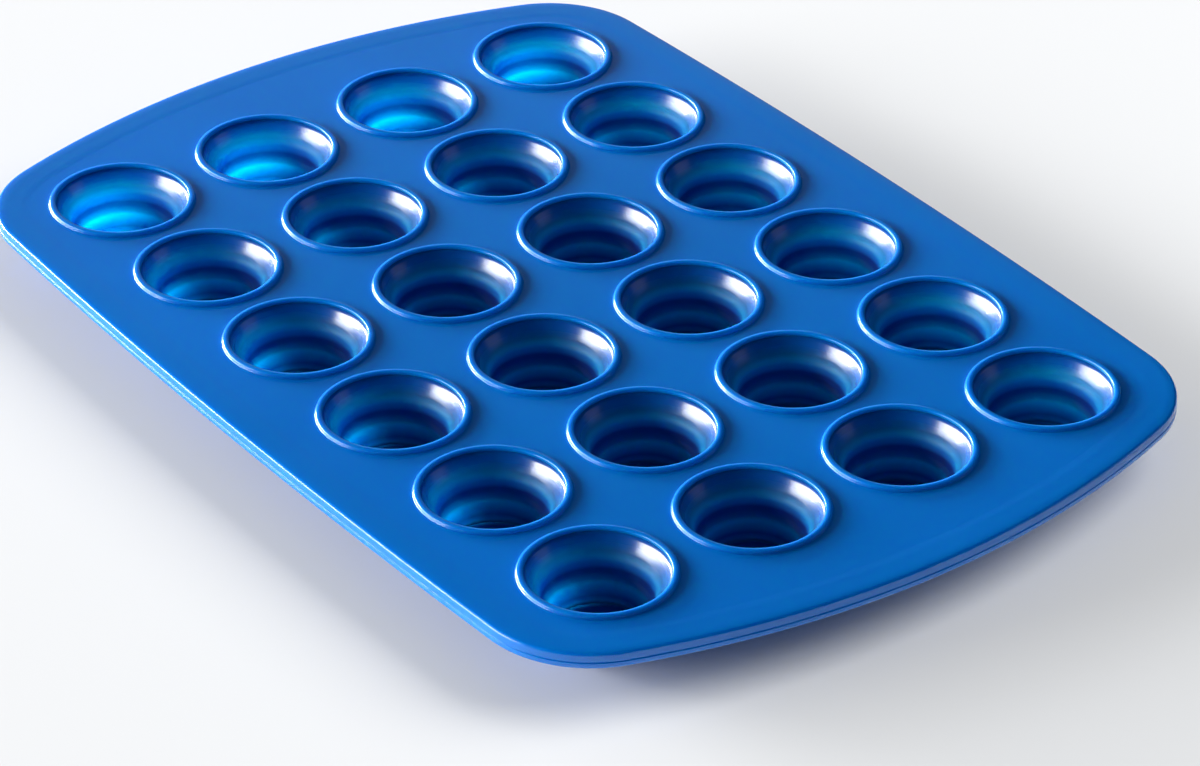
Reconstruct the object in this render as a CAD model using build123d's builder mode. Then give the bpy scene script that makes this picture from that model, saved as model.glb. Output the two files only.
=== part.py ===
"""Twenty-four-cup mini muffin tray in flexible silicone, with a wire ring in its rim.

Millimetres. X runs across the tray, Y along it and Z up. The origin is on the supporting
surface, under the middle of the tray.
"""

from build123d import *
import os

# Cup layout: the clear deck between neighbouring beads sets the pitch
rows = 6
columns = 4
web_along = 4.9
web_across = 7.8

# Cup mouth
mouth_radius = 20.0
bead_width = 2.1
bead_height = 1.0

# Stepped cup: an upper cone, a middle step, and a lower step that carries the floor
wall_thickness = 1.2
cone_drop = 5.0
cone_inset = 3.0
shoulder_drop = 1.6
shoulder_inset = 1.4
middle_drop = 6.0
middle_taper = 0.4
slide_gap = 0.3
lap = 0.8
lower_taper = 0.9
cup_depth = 19.4
floor_thickness = 1.6
fold_radius = 1.0
floor_fillet = 1.6

# Deck and rim: the lands are the clear deck between the outer beads and the tray's edge
deck_thickness = 2.0
side_land = 18.7
end_land = 27.8
side_arc_radius = 2600.0
end_arc_radius = 280.0
corner_radius = 34.0
rim_height = 5.0
rim_width = 9.0
rim_edge_radius = 1.2
rim_slope_width = 3.5

# Wire ring in the rim, measured from the outline to the wire's centre
wire_radius = 1.5
wire_inset = 3.2

# Places worked out from the sizes above
bead_radius = mouth_radius + bead_width
pitch_along = 2 * bead_radius + web_along
pitch_across = 2 * bead_radius + web_across
half_width = (columns - 1) / 2 * pitch_across + bead_radius + side_land
half_length = (rows - 1) / 2 * pitch_along + bead_radius + end_land

deck_top = floor_thickness + cup_depth
deck_bottom = deck_top - deck_thickness
wire_height = deck_top - rim_height / 2
crest = deck_top + bead_height
collar_radius = mouth_radius + wall_thickness

cone_foot = deck_top - cone_drop
middle_top = cone_foot - shoulder_drop
middle_foot = middle_top - middle_drop
lower_top = middle_foot + lap

cone_foot_radius = mouth_radius - cone_inset
middle_top_radius = cone_foot_radius - shoulder_inset
middle_foot_radius = middle_top_radius - middle_taper
lower_top_radius = middle_foot_radius - slide_gap - wall_thickness
lower_foot_radius = lower_top_radius - lower_taper


def upright(x, y):
    """Plane through a cup's axis: its own x is the cup's radius, and its own y is height."""
    return Plane(origin=(x, y, 0), x_dir=(1, 0, 0), z_dir=(0, -1, 0))


def cup_axis(x, y):
    """Vertical axis of the cup at x, y."""
    return Axis((x, y, 0), (0, 0, 1))


def outer_corner(before, corner, after):
    """The corner of a cup's outer skin that keeps the wall thickness outside an inner corner."""
    to_corner = (Vector(*corner) - Vector(*before)).normalized()
    from_corner = (Vector(*after) - Vector(*corner)).normalized()
    bisector = to_corner + from_corner
    outwards = Vector(-bisector.Y, bisector.X) * (2 * wall_thickness / bisector.dot(bisector))
    return Vector(*corner) + outwards


def outline(inset=0):
    """Tray outline moved inwards by inset: what four discs share, with round corners."""
    side_centre = side_arc_radius - half_width
    end_centre = end_arc_radius - half_length
    with BuildSketch(Plane.XY.offset(deck_top)) as shape:
        with Locations((side_centre, 0)):
            Circle(side_arc_radius - inset)
        with Locations((-side_centre, 0)):
            Circle(side_arc_radius - inset, mode=Mode.INTERSECT)
        with Locations((0, end_centre)):
            Circle(end_arc_radius - inset, mode=Mode.INTERSECT)
        with Locations((0, -end_centre)):
            Circle(end_arc_radius - inset, mode=Mode.INTERSECT)
        fillet(shape.vertices(), corner_radius - inset)
    return shape


def make_cup_wall(x, y):
    """Upper cone and middle step of one cup, with the collar that fills the deck's opening."""
    mouth = (mouth_radius, deck_top)
    cone_end = (cone_foot_radius, cone_foot)
    step_top = (middle_top_radius, middle_top)
    step_end = (middle_foot_radius, middle_foot)
    with BuildPart() as wall:
        with BuildSketch(upright(x, y)):
            with BuildLine():
                inner = FilletPolyline(mouth, cone_end, step_top, step_end, radius=fold_radius)
                outer = FilletPolyline(
                    (collar_radius, deck_bottom),
                    outer_corner(mouth, cone_end, step_top),
                    outer_corner(cone_end, step_top, step_end),
                    (middle_foot_radius + wall_thickness, middle_foot),
                    radius=fold_radius,
                )
                Polyline(inner @ 0, (collar_radius, deck_top), outer @ 0)
                Line(inner @ 1, outer @ 1)
            make_face()
        revolve(axis=cup_axis(x, y))
    return wall


def make_cup_base(x, y):
    """Lower step and floor of one cup: a shallow dish that slides up inside the middle step."""
    with BuildPart() as base:
        with BuildSketch(upright(x, y)):
            with BuildLine():
                inner = FilletPolyline(
                    (0, floor_thickness),
                    (lower_foot_radius, floor_thickness),
                    (lower_top_radius, lower_top),
                    radius=floor_fillet,
                )
                outer = FilletPolyline(
                    (0, 0),
                    (lower_foot_radius + wall_thickness, 0),
                    (lower_top_radius + wall_thickness, lower_top),
                    radius=floor_fillet + wall_thickness / 2,
                )
                Line(inner @ 0, outer @ 0)
                Line(inner @ 1, outer @ 1)
            make_face()
        revolve(axis=cup_axis(x, y))
    return base


os.makedirs("parts", exist_ok=True)

# Raised bead that finishes a mouth, made on the Z axis and copied to every cup
with BuildPart() as mouth_bead:
    with BuildSketch(upright(0, 0)):
        with BuildLine():
            bead_foot = Line((mouth_radius, deck_top), (bead_radius, deck_top))
            ThreePointArc(bead_foot @ 1, (mouth_radius + bead_width / 2, crest), bead_foot @ 0)
        make_face()
    revolve(axis=Axis.Z)

# Deck: the flat sheet inside the rim, with an opening and a bead at every cup
with BuildPart() as tray_deck:
    add(outline(rim_width).sketch)
    extrude(amount=-deck_thickness)
    with BuildSketch(Plane.XY.offset(deck_top)):
        with GridLocations(pitch_across, pitch_along, columns, rows):
            Circle(collar_radius)
    extrude(amount=-deck_thickness, mode=Mode.SUBTRACT)
    with GridLocations(pitch_across, pitch_along, columns, rows):
        add(mouth_bead.part)
tray_deck.part.label = "tray_deck"
export_step(tray_deck.part, "parts/tray_deck.step")

# Wire ring: round steel wire bent to the outline and butt-welded into a closed ring
wire_route = outline(wire_inset).sketch.face().outer_wire().moved(Location((0, 0, wire_height - deck_top)))
with BuildPart() as rim_wire:
    with BuildSketch(Plane(origin=wire_route @ 0, z_dir=wire_route % 0)):
        Circle(wire_radius)
    sweep(path=wire_route)
rim_wire.part.label = "rim_wire"
export_step(rim_wire.part, "parts/rim_wire.step")

# Rim: the thick edge band, rounded outside, sloping up to the deck inside, moulded round the wire
with BuildPart() as rim_edge:
    add(outline().sketch)
    extrude(amount=-rim_height)
    outer_edges = rim_edge.faces().filter_by(Axis.Z).edges()
    fillet(outer_edges, rim_edge_radius)
    add(outline(rim_width).sketch)
    extrude(amount=-rim_height, mode=Mode.SUBTRACT)
    inner_edges = rim_edge.faces().sort_by(Axis.Z)[0].inner_wires()[0].edges()
    chamfer(inner_edges, rim_height - deck_thickness, rim_slope_width)
    add(rim_wire.part, mode=Mode.SUBTRACT)
rim_edge.part.label = "rim_edge"
export_step(rim_edge.part, "parts/rim_edge.step")

# Cups: row 1 is at the -Y end, and column 1 is on the -X side
for row in range(1, rows + 1):
    for column in range(1, columns + 1):
        cup_x = (column - (columns + 1) / 2) * pitch_across
        cup_y = (row - (rows + 1) / 2) * pitch_along

        cup_wall = make_cup_wall(cup_x, cup_y)
        cup_wall.part.label = f"cup_wall_r{row}c{column}"
        export_step(cup_wall.part, f"parts/{cup_wall.part.label}.step")

        cup_base = make_cup_base(cup_x, cup_y)
        cup_base.part.label = f"cup_base_r{row}c{column}"
        export_step(cup_base.part, f"parts/{cup_base.part.label}.step")
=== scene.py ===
"""Silicone mini muffin tray: deck, rim and 24 stepped cups as smooth mouldings, with studio light."""

import math

import bpy
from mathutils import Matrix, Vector, geometry


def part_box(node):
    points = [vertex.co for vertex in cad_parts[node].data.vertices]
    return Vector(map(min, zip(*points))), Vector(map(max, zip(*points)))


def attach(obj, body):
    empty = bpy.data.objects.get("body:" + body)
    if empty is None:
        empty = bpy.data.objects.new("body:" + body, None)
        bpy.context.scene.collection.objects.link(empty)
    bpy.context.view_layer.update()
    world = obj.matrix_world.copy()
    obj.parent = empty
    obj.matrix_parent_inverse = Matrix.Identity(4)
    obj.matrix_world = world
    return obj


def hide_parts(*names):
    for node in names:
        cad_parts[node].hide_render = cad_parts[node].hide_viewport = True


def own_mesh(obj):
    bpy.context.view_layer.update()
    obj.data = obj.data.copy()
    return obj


MM = 0.001
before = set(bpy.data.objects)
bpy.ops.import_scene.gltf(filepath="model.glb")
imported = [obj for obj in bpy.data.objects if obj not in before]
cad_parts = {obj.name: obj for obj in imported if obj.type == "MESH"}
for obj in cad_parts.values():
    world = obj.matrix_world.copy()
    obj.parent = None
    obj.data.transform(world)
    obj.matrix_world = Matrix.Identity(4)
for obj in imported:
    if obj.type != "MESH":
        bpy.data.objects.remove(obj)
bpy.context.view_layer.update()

# ---------------------------------------------------------------- sizes, millimetres
ROWS = 6
COLUMNS = 4
deck_low, deck_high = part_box("tray_deck")
rim_low, rim_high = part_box("rim_edge")
wall_low, wall_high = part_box("cup_wall_r1c1")

DECK_TOP = rim_high.z / MM
CREST = deck_high.z / MM
DECK_BOTTOM = deck_low.z / MM
RIM_BOTTOM = rim_low.z / MM
HALF_WIDTH = (rim_high.x - rim_low.x) / 2 / MM
HALF_LENGTH = (rim_high.y - rim_low.y) / 2 / MM
SIDE_ARC = 2600.0  # radii of the bowed outline
END_ARC = 280.0
CORNER = 34.0
RIM_WIDTH = 9.0

COLLAR = (wall_high.x - wall_low.x) / 2 / MM
SKIN = 1.2
MOUTH = COLLAR - SKIN
BEAD = 2.1
FLOOR = 1.6
SEAM = FLOOR + 0.6  # where a cup's wall skin ends and its base skin begins
FOOT = 12.58  # inner radius of the wall skin at the seam

DECK_DIP = 0.16  # the deck lies this far below the rim's top
FLANGE = 2.6  # the rim section reaches this far in over the deck
GROOVE = 0.35  # depth of the parting line
GROOVE_HALF = 0.3

SEGMENTS = 80  # points round each cup
SHEET_SPACING = 5.0
RIM_SPACING = 2.0
WALL_SPACING = 1.1
BASE_SPACING = 1.2
ROW_PITCH = 0.866  # height of a row of even triangles, as a share of their side

DECK_POLISH = 0.25
RIM_POLISH = 0.5
RIM_POLISH_REACH = 1.2  # the rim's polish reaches this far in from the edge


def cup_centre(row, column):
    """Middle of a cup, in millimetres."""
    low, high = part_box(f"cup_wall_r{row}c{column}")
    return (low.x + high.x) / 2 / MM, (low.y + high.y) / 2 / MM


CUPS = {(r, c): cup_centre(r, c) for r in range(1, ROWS + 1) for c in range(1, COLUMNS + 1)}


# ---------------------------------------------------------------- mesh helpers
def make_object(name, points, faces, material, skin=None):
    """Smooth mesh object from points in millimetres; skin holds named values, one for each point."""
    mesh = bpy.data.meshes.new(name)
    mesh.from_pydata([[v * MM for v in p] for p in points], [], faces)
    mesh.materials.append(material)
    mesh.polygons.foreach_set("use_smooth", [True] * len(mesh.polygons))
    for key, values in (skin or {}).items():
        mesh.attributes.new(key, "FLOAT", "POINT").data.foreach_set("value", values)
    mesh.update()
    piece = bpy.data.objects.new(name, mesh)
    bpy.context.scene.collection.objects.link(piece)
    return piece


def rounded(corners, steps=5):
    """Points along a path of (x, y, radius) corners, with an arc of that radius at each inner one."""
    points = [corners[0][:2]]
    for before, corner, after in zip(corners, corners[1:], corners[2:]):
        here = Vector(corner[:2])
        arm_in = Vector(before[:2]) - here
        arm_out = Vector(after[:2]) - here
        turn = math.pi - arm_in.angle(arm_out)
        radius = corner[2]
        if radius == 0 or turn < 0.01:
            points.append(corner[:2])
            continue
        reach = min(radius * math.tan(turn / 2), 0.49 * arm_in.length, 0.49 * arm_out.length)
        start = here + arm_in.normalized() * reach
        end = here + arm_out.normalized() * reach
        for k in range(steps + 1):
            t = k / steps
            # a rational quadratic arc, exact for a circle
            w = math.cos(turn / 2)
            a, b, c = (1 - t) ** 2, 2 * w * t * (1 - t), t ** 2
            p = (start * a + here * b + end * c) / (a + b + c)
            points.append((p.x, p.y))
    points.append(corners[-1][:2])
    return points


def divided(path, spacing):
    """The same path with its long runs cut into even lengths."""
    out = [path[0]]
    for a, b in zip(path, path[1:]):
        n = max(1, round(math.dist(a, b) / spacing))
        for k in range(1, n + 1):
            out.append((a[0] + (b[0] - a[0]) * k / n, a[1] + (b[1] - a[1]) * k / n))
    return out


def circle(centre, radius):
    """Points of a ring round a cup."""
    angles = [2 * math.pi * k / SEGMENTS for k in range(SEGMENTS)]
    return [(centre[0] + radius * math.cos(a), centre[1] + radius * math.sin(a)) for a in angles]


def revolved(profile, centre, closed):
    """Points and faces of a profile of (radius, height) turned about a vertical axis."""
    points, rings = [], []
    for radius, height in profile:
        if radius < 1e-6:
            points.append((*centre, height))
            rings.append([len(points) - 1] * SEGMENTS)
            continue
        rings.append(list(range(len(points), len(points) + SEGMENTS)))
        points.extend((x, y, height) for x, y in circle(centre, radius))
    pairs = list(zip(rings, rings[1:]))
    if closed:
        pairs.append((rings[-1], rings[0]))
    faces = []
    for lower, upper in pairs:
        for k in range(SEGMENTS):
            n = (k + 1) % SEGMENTS
            corners = [lower[k], lower[n], upper[n], upper[k]]
            faces.append(list(dict.fromkeys(corners)))
    return points, faces


# ---------------------------------------------------------------- materials
def blank_material(name):
    """New node material: itself, its nodes, its links, its shader and its object coordinates."""
    material = bpy.data.materials.new(name)
    material.use_nodes = True
    nodes = material.node_tree.nodes
    place = nodes.new("ShaderNodeTexCoord").outputs["Object"]
    return material, nodes, material.node_tree.links, nodes["Principled BSDF"], place


def noise(nodes, links, place, scale, detail=2.0):
    """Noise texture over the object, as its Fac output."""
    texture = nodes.new("ShaderNodeTexNoise")
    texture.inputs["Scale"].default_value = scale
    texture.inputs["Detail"].default_value = detail
    links.new(place, texture.inputs["Vector"])
    return texture.outputs["Fac"]


def two_colours(nodes, links, shader, factor, first, second, span=(0.0, 1.0)):
    """Base colour that runs from first to second as factor crosses span."""
    tint = nodes.new("ShaderNodeValToRGB")
    for element, position, colour in zip(tint.color_ramp.elements, span, (first, second)):
        element.position = position
        element.color = (*colour, 1)
    links.new(factor, tint.inputs["Fac"])
    links.new(tint.outputs["Color"], shader.inputs["Base Color"])


def multiply_add(nodes, links, value, factor, addend):
    """Output of value times a fixed factor, plus addend."""
    node = nodes.new("ShaderNodeMath")
    node.operation = "MULTIPLY_ADD"
    node.inputs[1].default_value = factor
    links.new(value, node.inputs[0])
    links.new(addend, node.inputs[2])
    return node.outputs["Value"]


def skin_value(nodes, name):
    """Output of a value that the mesh carries at each point."""
    attribute = nodes.new("ShaderNodeAttribute")
    attribute.attribute_name = name
    return attribute.outputs["Fac"]


CLOUD_SCALE = 9.0  # soft mottling, a few across the tray
CLOUD_SPAN = (0.35, 0.68)
CLOUD_IN_BANDS = 0.12
BAND_SPAN = (0.05, 1.0)
SMEAR_SCALE = 38.0  # patches of slightly different gloss
SMEAR_RANGE = 0.015
GRAIN_SCALE = 1500.0  # fine moulded grain
GRAIN_STRENGTH = 0.12
GRAIN_HEIGHT = 0.00005
RED_REACH = 0.02
SILICONE_IOR = 1.41


def silicone(name, deep, light, roughness, satin, depth, reach, banded):
    """Translucent pigmented silicone: subsurface colour, soft mottling, satin skin with fine grain; banded,
    it also carries painted light and shade by height.
    """
    material, nodes, links, shader, place = blank_material(name)

    cloud = noise(nodes, links, place, CLOUD_SCALE, detail=3.0)
    if banded:
        # painted light and shade: the ledges are painted lighter than the walls between them and the cup
        # floor, as if lit from above with the rest in shade
        cloud = multiply_add(nodes, links, cloud, CLOUD_IN_BANDS, skin_value(nodes, "painted_light"))
    two_colours(nodes, links, shader, cloud, deep, light, BAND_SPAN if banded else CLOUD_SPAN)

    gloss = nodes.new("ShaderNodeMapRange")
    gloss.inputs["From Min"].default_value = 0.3
    gloss.inputs["From Max"].default_value = 0.7
    gloss.inputs["To Min"].default_value = roughness + satin - SMEAR_RANGE
    gloss.inputs["To Max"].default_value = roughness + satin + SMEAR_RANGE
    links.new(noise(nodes, links, place, SMEAR_SCALE, detail=4.0), gloss.inputs["Value"])
    # polished skin has a coat and loses its satin
    polish = skin_value(nodes, "polish")
    links.new(polish, shader.inputs["Coat Weight"])
    dull = multiply_add(nodes, links, polish, -satin, gloss.outputs["Result"])
    links.new(dull, shader.inputs["Roughness"])

    bump = nodes.new("ShaderNodeBump")
    bump.inputs["Strength"].default_value = GRAIN_STRENGTH
    bump.inputs["Distance"].default_value = GRAIN_HEIGHT
    links.new(noise(nodes, links, place, GRAIN_SCALE), bump.inputs["Height"])
    links.new(bump.outputs["Normal"], shader.inputs["Normal"])

    shader.inputs["Subsurface Weight"].default_value = 1.0
    shader.inputs["Subsurface Radius"].default_value = (RED_REACH, *reach)
    shader.inputs["Subsurface Anisotropy"].default_value = 0.0
    shader.inputs["Subsurface Scale"].default_value = depth
    shader.inputs["IOR"].default_value = SILICONE_IOR
    shader.inputs["Coat Roughness"].default_value = 0.2
    return material


def floor_material():
    """Matt white sweep, with a trace of paper grain."""
    material, nodes, links, shader, place = blank_material("studio_floor")
    paper = noise(nodes, links, place, 3.0)
    two_colours(nodes, links, shader, paper, (0.655, 0.66, 0.665), (0.68, 0.685, 0.69))
    shader.inputs["Roughness"].default_value = 0.7
    shader.inputs["Specular IOR Level"].default_value = 0.0
    return material


def drawn_steel():
    """Bright drawn wire with fine scuffs."""
    material, nodes, links, shader, place = blank_material("drawn_steel")
    scuff = noise(nodes, links, place, 400.0)
    two_colours(nodes, links, shader, scuff, (0.45, 0.45, 0.46), (0.62, 0.62, 0.63))
    shader.inputs["Metallic"].default_value = 1.0
    shader.inputs["Roughness"].default_value = 0.35
    return material


deck_silicone = silicone(
    "deck_silicone",
    deep=(0.0, 0.185, 0.64), light=(0.0, 0.205, 0.70),
    roughness=0.2, satin=0.04, depth=0.0025, reach=(1.0, 1.0), banded=False,
)
cup_silicone = silicone(
    "cup_silicone",
    # deep is the painted shade of the cup walls and floor, light the painted light on the ledges
    deep=(0.0, 0.03, 0.27), light=(0.0, 0.24, 0.84),
    roughness=0.26, satin=0.26, depth=0.0036, reach=(2.0, 2.3), banded=True,
)
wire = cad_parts["rim_wire"]
wire.data.materials.clear()
wire.data.materials.append(drawn_steel())


# ---------------------------------------------------------------- tray deck and rim
def outline_loop(inset, side_steps=22, end_steps=17, corner_steps=18):
    """Points round the tray outline, moved inwards by inset: concentric arcs keep them in step."""
    side_x = HALF_WIDTH - SIDE_ARC
    end_y = HALF_LENGTH - END_ARC
    reach_side = SIDE_ARC - CORNER
    reach_end = END_ARC - CORNER
    # middle of the round corner: where the side and end arcs, moved in by its radius, cross
    gap = math.hypot(side_x, end_y)
    along = (reach_side ** 2 - reach_end ** 2 + gap ** 2) / (2 * gap)
    across = math.sqrt(reach_side ** 2 - along ** 2)
    ux, uy = -side_x / gap, end_y / gap
    crossings = [
        (side_x + ux * along + side * uy * across, uy * along - side * ux * across) for side in (1, -1)
    ]
    corner_x, corner_y = max(crossings, key=min)
    from_side = math.atan2(corner_y, corner_x - side_x)
    from_end = math.atan2(corner_y - end_y, corner_x)
    quarter = []
    for k in range(side_steps + 1):
        angle = from_side * k / side_steps
        quarter.append((side_x, 0, SIDE_ARC - inset, angle))
    for k in range(1, corner_steps):
        angle = from_side + (from_end - from_side) * k / corner_steps
        quarter.append((corner_x, corner_y, CORNER - inset, angle))
    for k in range(end_steps + 1):
        angle = from_end + (math.pi / 2 - from_end) * k / end_steps
        quarter.append((0, end_y, END_ARC - inset, angle))
    first = [(x + r * math.cos(a), y + r * math.sin(a)) for x, y, r, a in quarter]
    second = [(-x, y) for x, y in reversed(first[:-1])]
    upper = first + second
    lower = [(-x, -y) for x, y in upper[1:-1]]
    return upper + lower


def flat_sheet(hole_radius, edge, spacing):
    """Even triangles over the deck between its edge loop and the loops round the cups.

    Returns the points, edge loop first and then each cup's loop, and the triangles.
    """
    points = [Vector(p) for p in edge]
    edges = [(k, (k + 1) % len(edge)) for k in range(len(edge))]
    for centre in CUPS.values():
        start = len(points)
        points.extend(Vector(p) for p in circle(centre, hole_radius))
        edges.extend((start + k, start + (k + 1) % SEGMENTS) for k in range(SEGMENTS))
    fixed = len(points)
    lowest_x = min(p[0] for p in edge)
    lowest_y = min(p[1] for p in edge)
    columns = int(-2 * lowest_x / spacing) + 1
    rows = int(-2 * lowest_y / (spacing * ROW_PITCH)) + 1
    polygon = [Vector(p) for p in edge]
    for i in range(rows):
        for j in range(columns):
            p = Vector((lowest_x + (j + 0.5 * (i % 2)) * spacing, lowest_y + i * spacing * ROW_PITCH))
            if min((p - q).length for q in polygon) < spacing * 0.7:
                continue
            if any(math.dist(p, c) < hole_radius + spacing * 0.35 for c in CUPS.values()):
                continue
            if not inside(p, polygon):
                continue
            points.append(p)
    new_points, _, triangles, origins = geometry.delaunay_2d_cdt(points, edges, [], 0, 1e-5)[:4]
    back = [o[0] if o else None for o in origins]
    keep = []
    for tri in triangles:
        mid = sum((new_points[v] for v in tri), Vector((0, 0))) / len(tri)
        if any(math.dist(mid, c) < hole_radius * 0.999 for c in CUPS.values()):
            if all(back[v] is not None and back[v] < fixed for v in tri):
                continue
        keep.append([back[v] for v in tri])
    return points, keep


def inside(p, polygon):
    """Whether p is inside a convex polygon that runs anticlockwise."""
    for a, b in zip(polygon, polygon[1:] + polygon[:1]):
        if (b.x - a.x) * (p.y - a.y) - (b.y - a.y) * (p.x - a.x) < 0:
            return False
    return True


def make_tray_skin():
    """The deck with its mouth beads and the rim, as one closed moulding."""
    points, faces = [], []

    def add_loop(loop, z):
        start = len(points)
        points.extend((x, y, z) for x, y in loop)
        return list(range(start, start + len(loop)))

    def bridge(a, b):
        for k in range(len(a)):
            n = (k + 1) % len(a)
            faces.append([a[k], b[k], b[n], a[n]])

    def bridge_inside(a, b):
        for k in range(len(a)):
            n = (k + 1) % len(a)
            faces.append([a[k], a[n], b[n], b[k]])

    def add_sheet(hole_radius, edge, z, turned):
        """Adds a flat sheet; returns its edge loop and the loops round its holes."""
        flat, triangles = flat_sheet(hole_radius, edge, SHEET_SPACING)
        start = len(points)
        points.extend((p.x, p.y, z) for p in flat)
        faces.extend([start + v for v in (reversed(t) if turned else t)] for t in triangles)
        holes = start + len(edge)
        rings = [list(range(n, n + SEGMENTS)) for n in range(holes, holes + len(CUPS) * SEGMENTS, SEGMENTS)]
        return list(range(start, holes)), rings

    # rim section from the deck's top edge, over the outside, to the deck's underside:
    # (inset, height, rounding)
    deck_level = DECK_TOP - DECK_DIP
    top = DECK_TOP - 0.12
    parting = RIM_BOTTOM + 0.42 * (top - RIM_BOTTOM)
    section = divided(rounded([
        (RIM_WIDTH + FLANGE, deck_level, 0),
        (RIM_WIDTH + 1.2, deck_level, 12.0),
        (RIM_WIDTH - 1.2, top, 12.0),
        (0.1, top, 0.9),
        (0.0, parting + GROOVE_HALF, 0.1),
        (GROOVE, parting, 0.1),
        (0.0, parting - GROOVE_HALF, 0.1),
        (0.1, RIM_BOTTOM, 0.8),
        (5.2, RIM_BOTTOM, 1.2),
        (RIM_WIDTH, DECK_BOTTOM, 1.2),
        (RIM_WIDTH + FLANGE, DECK_BOTTOM, 0),
    ]), RIM_SPACING)

    # bead section from the flat deck, over the bead, and down the collar: (radius, height, rounding)
    bead = rounded([
        (MOUTH + BEAD + 1.2, deck_level, 0),
        (MOUTH + BEAD + 0.05, deck_level, 0.35),
        (MOUTH + BEAD - 0.2, CREST - 0.12, 0.42),
        (MOUTH + BEAD / 2, CREST, 2.0),
        (MOUTH + 0.1, CREST - 0.1, 0.38),
        (MOUTH, DECK_TOP - 0.02, 0.05),
        (COLLAR + 0.02, DECK_TOP - 0.02, 0),
        (COLLAR + 0.02, DECK_BOTTOM, 0),
    ], steps=4)

    edge_top, rings_top = add_sheet(bead[0][0], outline_loop(section[0][0]), deck_level, turned=False)
    edge_under, rings_under = add_sheet(bead[-1][0], outline_loop(section[-1][0]), DECK_BOTTOM, turned=True)

    last = edge_top
    polished = []
    for inset, z in section[1:-1]:
        loop = add_loop(outline_loop(inset), z)
        if inset < RIM_POLISH_REACH:
            polished.extend(loop)
        bridge(last, loop)
        last = loop
    bridge(last, edge_under)

    for centre, last, ring_under in zip(CUPS.values(), rings_top, rings_under):
        for radius, z in bead[1:-1]:
            loop = add_loop(circle(centre, radius), z)
            bridge_inside(last, loop)
            last = loop
        bridge_inside(last, ring_under)

    polish = [DECK_POLISH] * len(points)
    for v in polished:
        polish[v] = RIM_POLISH
    piece = make_object("tray_skin", points, faces, deck_silicone, {"polish": polish})
    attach(piece, "tray")
    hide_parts("tray_deck", "rim_edge")
    return piece


# ---------------------------------------------------------------- cups
# sections of the wall skin: (radius, height, rounding), down the inside and up the outside
INNER = [
    (MOUTH, DECK_TOP - 0.04, 0),
    (17.35, 16.6, 3.0),
    (15.75, 14.9, 3.2),
    (15.05, 10.2, 3.2),
    (13.85, 8.0, 2.6),
    (13.25, 6.0, 2.6),
    (12.75, 3.2, 2.0),
    (FOOT + 0.02, SEAM + 0.08, 0),
    (FOOT, SEAM, 0),
]
OUTER = [
    (FOOT + SKIN, SEAM, 0),
    (FOOT + 0.02 + SKIN, SEAM + 0.08, 0),
    (12.75 + SKIN + 0.4, 3.4, 1.5),
    (13.25 + SKIN + 0.1, 6.0, 2.4),
    (13.85 + SKIN - 0.3, 8.0, 1.2),
    (15.05 + SKIN + 0.7, 10.2, 2.0),
    (15.75 + SKIN - 0.1, 14.6, 1.6),
    (17.35 + SKIN - 0.55, 16.4, 2.4),
    (COLLAR - 0.03, DECK_BOTTOM + 0.2, 1.5),
    (COLLAR - 0.03, DECK_TOP - 0.04, 0),
]

# painted light and shade at each height, (height, painted light): the upward-facing ledges are painted
# lighter, as if lit, and the walls between them and the cup floor darker, as if in shade
PAINTED_LIGHT_TABLE = [
    (1.6, 0.0), (2.1, 0.25), (3.0, 0.5), (4.6, 0.1), (6.2, 0.5), (7.8, 1.0),
    (9.4, 0.15), (11.6, 0.0), (13.5, 0.6), (15.1, 1.0), (16.8, 0.45), (21.0, 0.25),
]

# how polished it is, (height, polish): the cone is bright, the pleats below it are satin
POLISH = [(16.0, 0.0), (18.4, 1.0)]


def smooth_table(table, height):
    """Value of a table of (height, value) at a height, eased between its entries."""
    if height <= table[0][0]:
        return table[0][1]
    for (low, first), (high, second) in zip(table, table[1:]):
        if height <= high:
            share = (height - low) / (high - low)
            share = share * share * (3 - 2 * share)
            return first + (second - first) * share
    return table[-1][1]


def skin_of(points):
    """Painted light and shade, and polish, of the cup's skin at each point."""
    return {
        "painted_light": [smooth_table(PAINTED_LIGHT_TABLE, p[2]) for p in points],
        "polish": [smooth_table(POLISH, p[2]) for p in points],
    }


def make_cup_wall(row, column):
    """Cone and pleated steps of one cup."""
    inner = divided(rounded(INNER), WALL_SPACING)
    outer = divided(rounded(OUTER), WALL_SPACING)
    points, faces = revolved(inner + outer, CUPS[row, column], closed=True)
    name = f"cup_wall_skin_r{row}c{column}"
    piece = make_object(name, points, faces, cup_silicone, skin_of(points))
    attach(piece, "tray")
    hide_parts(f"cup_wall_r{row}c{column}")
    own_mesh(piece)
    return piece


def make_cup_base(row, column):
    """Floor of one cup, with the corner that the lower step grows from.

    A lip at the top of the corner is tucked inside the wall skin, clear of its end ring.
    """
    lip_top = SEAM + 0.4
    lip_foot = SEAM - 0.05
    hollow = 0.25  # the middle of the floor is raised, inside and underneath
    inner = divided(rounded([
        (0, FLOOR + hollow, 0),
        (9.0, FLOOR, 4.0),
        (12.3, FLOOR, 0.5),
        (FOOT - 0.01, lip_foot, 0),
        (12.9, lip_top, 0),
    ]), BASE_SPACING)
    outer = divided(rounded([
        (13.3, lip_top, 0),
        (FOOT - 0.01 + SKIN, lip_foot, 0),
        (13.3, 0.0, 1.2),
        (9.5, 0.0, 0.5),
        (9.0, hollow, 0.5),
        (0, hollow, 0),
    ]), BASE_SPACING)
    points, faces = revolved(inner + outer, CUPS[row, column], closed=False)
    name = f"cup_base_skin_r{row}c{column}"
    piece = make_object(name, points, faces, cup_silicone, skin_of(points))
    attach(piece, f"base_r{row}c{column}")
    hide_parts(f"cup_base_r{row}c{column}")
    return piece


# ---------------------------------------------------------------- studio
# directions over the floor as the photograph's camera has them
RIGHT = Vector((0.81, -0.586, 0))
FORWARD = Vector((0.586, 0.81, 0))
UP = Vector((0, 0, 1))

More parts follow.
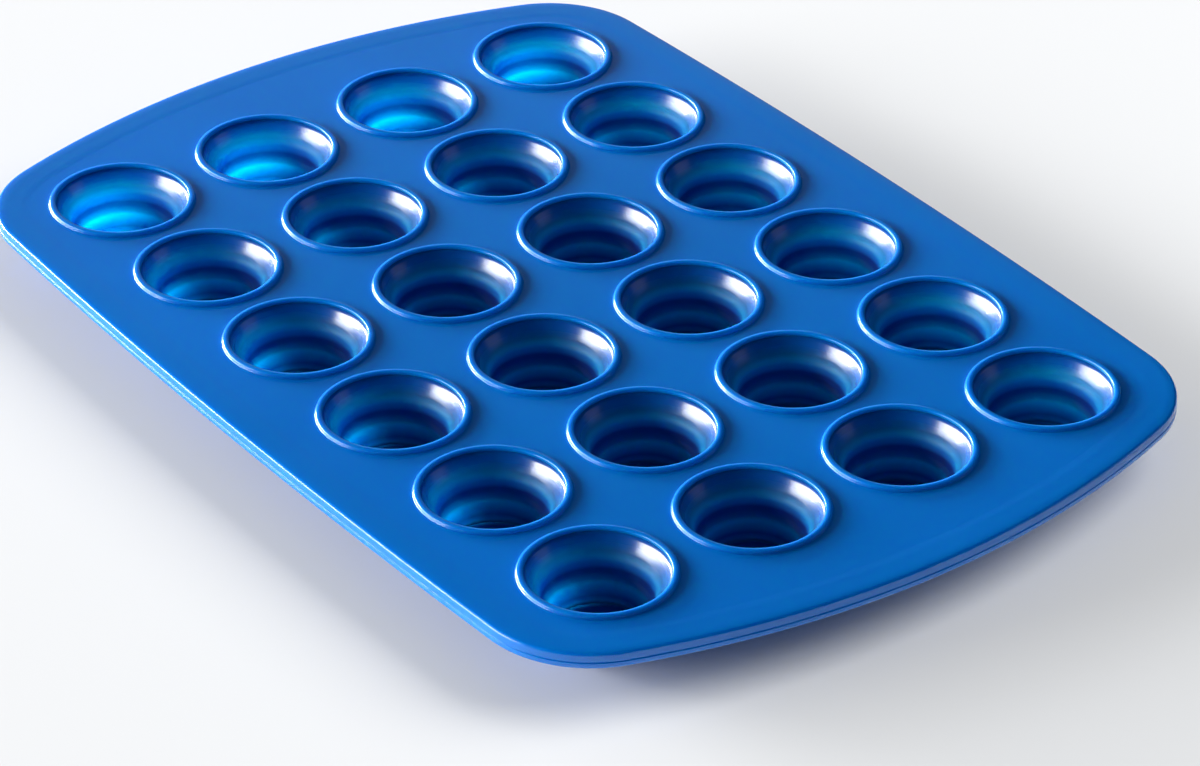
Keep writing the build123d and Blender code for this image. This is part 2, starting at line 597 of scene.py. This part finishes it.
FLOOR_HALF = 6.0  # metres
LENS = 143.4
CAMERA_PLACE = (-0.697, -0.9775, 0.724 + CREST * MM)
CAMERA_DOWN = 32.22  # degrees below the horizon
CAMERA_TURN = -35.94  # degrees from +Y, anticlockwise
WORLD_COLOUR = (0.9, 0.94, 1.0, 1)
WORLD_STRENGTH = 0.22

# rectangular lights: (name, place, target, size, watts)
LIGHTS = [
    ("window_left", -5.0 * RIGHT + 0.1 * FORWARD + 1.3 * UP, 1.0 * UP, (4.9, 1.8), 480),
    ("back_left", 2.7 * FORWARD - 3.6 * RIGHT + 0.46 * UP, (0, 0, 0), (2.8, 0.8), 540),
    ("back_panel", 4.0 * FORWARD - 1.0 * RIGHT + 1.35 * UP, (0, 0, 0), (3.6, 1.7), 6.5),
    ("fill_right", 3.0 * RIGHT + 0.3 * FORWARD + 0.9 * UP, (0, 0, 0), (1.6, 1.0), 1.2),
]
# this one lights only the floor
FLOOR_WASH = (
    "floor_wash", 2.5 * RIGHT + 0.1 * FORWARD + 2.2 * UP, 1.2 * RIGHT - 0.5 * FORWARD, (2.6, 2.6), 112
)


def make_floor():
    """Pale floor, large enough to reach out of every view."""
    corners = [(-1, -1), (1, -1), (1, 1), (-1, 1)]
    mesh = bpy.data.meshes.new("studio_floor")
    mesh.from_pydata([(FLOOR_HALF * x, FLOOR_HALF * y, 0) for x, y in corners], [], [(0, 1, 2, 3)])
    mesh.materials.append(floor_material())
    piece = bpy.data.objects.new("studio_floor", mesh)
    bpy.context.scene.collection.objects.link(piece)
    return piece


def make_softbox(name, place, target, size, power):
    """Rectangular area light at place, facing target."""
    light = bpy.data.lights.new(name, "AREA")
    light.shape = "RECTANGLE"
    light.size, light.size_y = size
    light.energy = power
    piece = bpy.data.objects.new(name, light)
    piece.location = place
    piece.rotation_euler = (Vector(target) - Vector(place)).to_track_quat("-Z", "Y").to_euler()
    bpy.context.scene.collection.objects.link(piece)
    return piece


def make_camera():
    """Long lens, about 32 degrees above the floor, off the tray's near left corner."""
    camera = bpy.data.cameras.new("camera")
    camera.lens = LENS
    camera.sensor_width = 36.0
    camera.clip_start = 0.05
    camera.clip_end = 30
    piece = bpy.data.objects.new("camera", camera)
    piece.location = CAMERA_PLACE
    piece.rotation_euler = (math.radians(90 - CAMERA_DOWN), 0, math.radians(CAMERA_TURN))
    bpy.context.scene.collection.objects.link(piece)
    bpy.context.scene.camera = piece


def make_world():
    """Dim, slightly cool surroundings, which reflections don't show."""
    world = bpy.data.worlds.new("studio")
    world.use_nodes = True
    background = world.node_tree.nodes["Background"]
    background.inputs["Color"].default_value = WORLD_COLOUR
    background.inputs["Strength"].default_value = WORLD_STRENGTH
    bpy.context.scene.world = world
    world.cycles_visibility.glossy = False


make_camera()
make_world()
floor = make_floor()
for light in LIGHTS:
    make_softbox(*light)
floor_wash = make_softbox(*FLOOR_WASH)
washed = bpy.data.collections.new("washed")
washed.objects.link(floor)
floor_wash.light_linking.receiver_collection = washed
bpy.context.scene.view_settings.view_transform = "Standard"

make_tray_skin()
for row, column in CUPS:
    make_cup_wall(row, column)
    make_cup_base(row, column)
